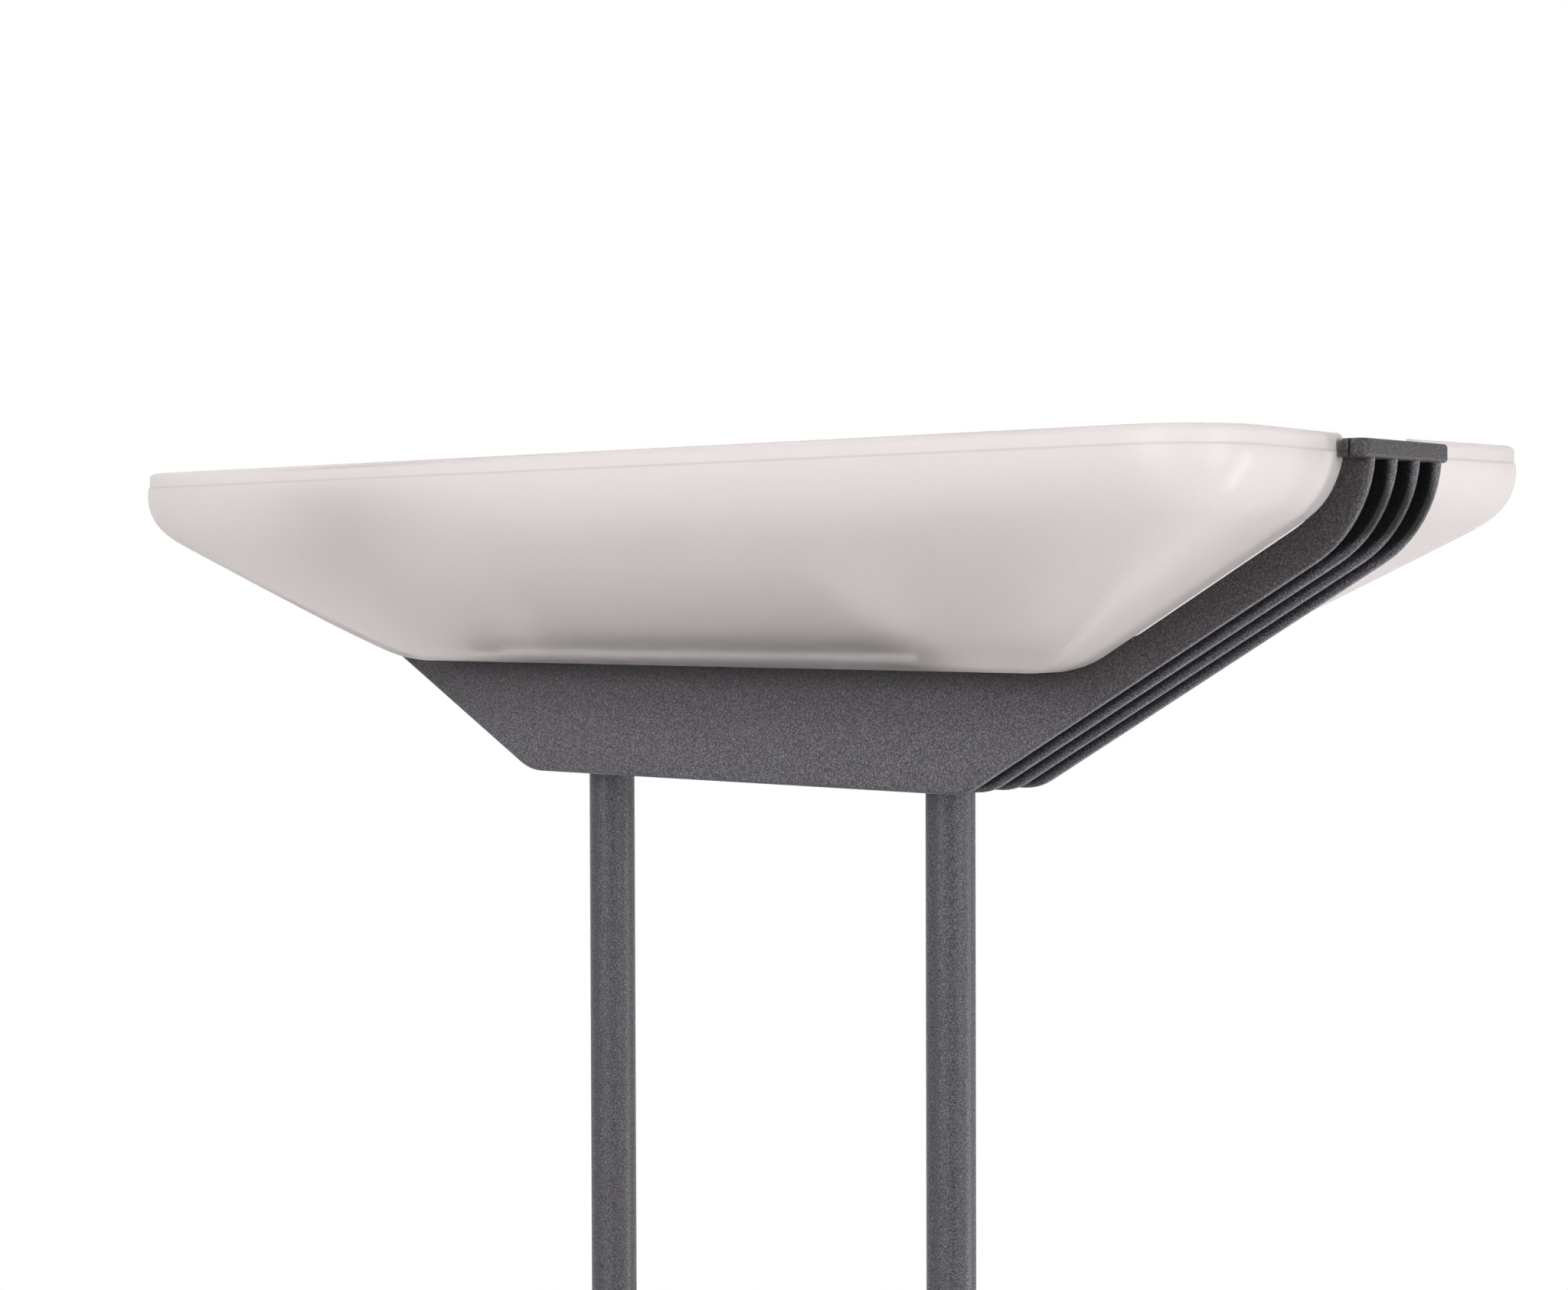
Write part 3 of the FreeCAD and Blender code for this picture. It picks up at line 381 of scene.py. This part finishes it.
def satin_paint(name, low, high, roughness):
    """Plain paint with a faint orange-peel surface."""
    material, tree, shader = principled(name, high, roughness)
    cloud = object_texture(tree, cloud_grain).outputs["Fac"]
    tree.links.new(two_tones(tree, cloud, low, high), shader.inputs["Base Color"])
    bump(tree, shader, object_texture(tree, peel_grain).outputs["Fac"], peel_relief)
    return material


def brushed_metal(name, low, high, roughness):
    """Metal with fine lines along X."""
    material, tree, shader = principled(name, high, roughness, metallic=1.0)
    lines = object_texture(tree, line_grain, stretch=line_stretch).outputs["Fac"]
    tree.links.new(two_tones(tree, lines, low, high), shader.inputs["Base Color"])
    swing = [(tone_low, roughness * line_dull), (tone_high, roughness * line_bright)]
    tree.links.new(grey_ramp(tree, lines, swing), shader.inputs["Roughness"])
    bump(tree, shader, lines, line_relief)
    return material


def moulded(name, low, high, roughness):
    """Plastic, rubber or ceramic with a fine moulded grain."""
    material, tree, shader = principled(name, high, roughness)
    grain = object_texture(tree, moulded_grain).outputs["Fac"]
    tree.links.new(two_tones(tree, grain, low, high), shader.inputs["Base Color"])
    bump(tree, shader, grain, moulded_relief)
    return material


def woven_sleeve(name):
    """Pale glass-fibre sleeve with a crossing weave."""
    material, tree, shader = principled(name, sleeve_color, sleeve_roughness)
    weave = object_texture(tree, weave_grain, "ShaderNodeTexChecker")
    weave.inputs["Color1"].default_value = rgba(sleeve_light)
    weave.inputs["Color2"].default_value = rgba(sleeve_dark)
    tree.links.new(weave.outputs["Color"], shader.inputs["Base Color"])
    bump(tree, shader, weave.outputs["Fac"], weave_relief)
    return material


# The material of each of the record's slots; the plain ones take a low tone, a high tone, a roughness
slot_materials = {
    # The keel's paint carries painted shade and a painted highlight; the posts' paint is darkened as
    # painted shade
    "cast_metal": speckled_paint("cast_paint", with_painted_light=True),
    "post_metal": speckled_paint("post_paint", share=post_painted_shade),
    "base_metal": speckled_paint("base_paint"),
    "bowl_glass": frosted_glass("bowl_frosting"),
    "clear_glass": clear_glass("tube_and_pane"),
    "white_paint": satin_paint("white_enamel", (0.70, 0.70, 0.68), (0.76, 0.76, 0.74), 0.4),
    "bright_reflector": brushed_metal("polished_sheet", (0.80, 0.80, 0.81), (0.88, 0.88, 0.89), 0.18),
    "plate_steel": brushed_metal("zinc_plate", (0.42, 0.42, 0.43), (0.56, 0.56, 0.57), 0.38),
    "lamp_ceramic": moulded("glazed_ceramic", (0.74, 0.71, 0.65), (0.80, 0.77, 0.71), 0.25),
    "contact_brass": brushed_metal("contact_metal", (0.55, 0.40, 0.18), (0.68, 0.51, 0.24), 0.3),
    "black_plastic": moulded("black_moulding", (0.012, 0.012, 0.013), (0.022, 0.022, 0.024), 0.5),
    "pad_rubber": moulded("dark_rubber", (0.010, 0.010, 0.010), (0.018, 0.018, 0.018), 0.8),
    "lead_sleeve": woven_sleeve("fibre_sleeve"),
}


def dress_nodes():
    """Gives every carried-over node the material of its slot."""
    for entry in frame["record"]["subparts"]:
        data = nodes[entry["node"]].data
        data.materials.clear()
        data.materials.append(slot_materials[entry["material_slot"]])


def white_for_camera(tree, lit, plain):
    """Plain white where the camera, a reflection or glass looks straight at it, and lit elsewhere."""
    path = tree.nodes.new("ShaderNodeLightPath")
    straight = maths(tree, "MAXIMUM", path.outputs["Is Camera Ray"], path.outputs["Is Transmission Ray"])
    seen = maths(tree, "MAXIMUM", straight, path.outputs["Is Glossy Ray"])
    return mixed(tree, seen, lit, plain)


def make_world():
    """White behind the object, and a soft dome of light that is stronger from above."""
    world = bpy.data.worlds.new("studio")
    bpy.context.scene.world = world
    world.use_nodes = True
    tree = world.node_tree
    tree.nodes.clear()
    place = tree.nodes.new("ShaderNodeTexCoord")
    split = tree.nodes.new("ShaderNodeSeparateXYZ")
    tree.links.new(place.outputs["Generated"], split.inputs[0])
    height = tree.nodes.new("ShaderNodeMapRange")
    height.inputs["From Min"].default_value = -1
    height.inputs["From Max"].default_value = 1
    tree.links.new(split.outputs["Z"], height.inputs["Value"])
    lit = tree.nodes.new("ShaderNodeBackground")
    lit.inputs["Strength"].default_value = world_strength
    tree.links.new(grey_ramp(tree, height.outputs["Result"], dome_stops), lit.inputs["Color"])
    plain = tree.nodes.new("ShaderNodeBackground")
    plain.inputs["Color"].default_value = grey(1.0)
    out = tree.nodes.new("ShaderNodeOutputWorld")
    tree.links.new(white_for_camera(tree, lit.outputs[0], plain.outputs[0]), out.inputs["Surface"])


def make_floor():
    """Pale disc on the floor that fades to the white backdrop, and is open to a camera below it."""
    bpy.ops.mesh.primitive_circle_add(vertices=floor_sides, radius=floor_radius, fill_type="NGON",
                                      location=(0, 0, 0))
    floor = bpy.context.object
    floor.name = "floor"
    material, tree, shader = principled("floor_white", floor_color, floor_roughness)
    place = tree.nodes.new("ShaderNodeTexCoord")
    length = tree.nodes.new("ShaderNodeVectorMath")
    length.operation = "LENGTH"
    tree.links.new(place.outputs["Object"], length.inputs[0])
    path = tree.nodes.new("ShaderNodeLightPath")
    fade_start = floor_radius * floor_fade_start
    fade_end = floor_radius * floor_fade_end
    outer = fade(tree, length.outputs["Value"], fade_start, fade_end)
    seen = maths(tree, "MULTIPLY", path.outputs["Is Camera Ray"], outer)
    white = tree.nodes.new("ShaderNodeEmission")
    edge = mixed(tree, seen, shader.outputs[0], white.outputs[0])
    side = tree.nodes.new("ShaderNodeNewGeometry")
    under = maths(tree, "MULTIPLY", path.outputs["Is Camera Ray"], side.outputs["Backfacing"])
    open_below = tree.nodes.new("ShaderNodeBsdfTransparent")
    out = tree.nodes["Material Output"]
    tree.links.new(mixed(tree, under, edge, open_below.outputs[0]), out.inputs["Surface"])
    floor.data.materials.append(material)


def make_lights():
    """Soft rectangular lamps; the rim lamp lights the posts and isn't seen through the glass."""
    for name, (place, target, size, power) in lamps.items():
        light = bpy.data.lights.new(name, "AREA")
        light.shape = "RECTANGLE"
        light.size, light.size_y = size
        light.energy = power
        lamp = bpy.data.objects.new(name, light)
        bpy.context.scene.collection.objects.link(lamp)
        lamp.location = place
        lamp.rotation_euler = (Vector(target) - Vector(place)).to_track_quat("-Z", "Y").to_euler()
        lamp.visible_camera = False
        lamp.visible_transmission = name != not_through_glass


def make_camera():
    """The camera of the photograph."""
    data = bpy.data.cameras.new("camera")
    data.lens = camera_lens
    data.sensor_width = camera_sensor
    data.clip_start = camera_near
    data.clip_end = camera_far
    camera = bpy.data.objects.new("camera", data)
    bpy.context.scene.collection.objects.link(camera)
    heading = Matrix.Rotation(camera_yaw, 4, "Z")
    level = Matrix.Rotation(math.pi / 2 - camera_pitch, 4, "X")
    lean = Matrix.Rotation(-camera_roll, 4, "Z")
    place = Matrix.Translation((camera_x, camera_y, head_z + camera_above_keel))
    camera.matrix_world = place @ heading @ level @ lean
    bpy.context.scene.camera = camera


dress_nodes()
make_world()
make_floor()
make_lights()
make_camera()
bpy.context.scene.view_settings.view_transform = "Standard"
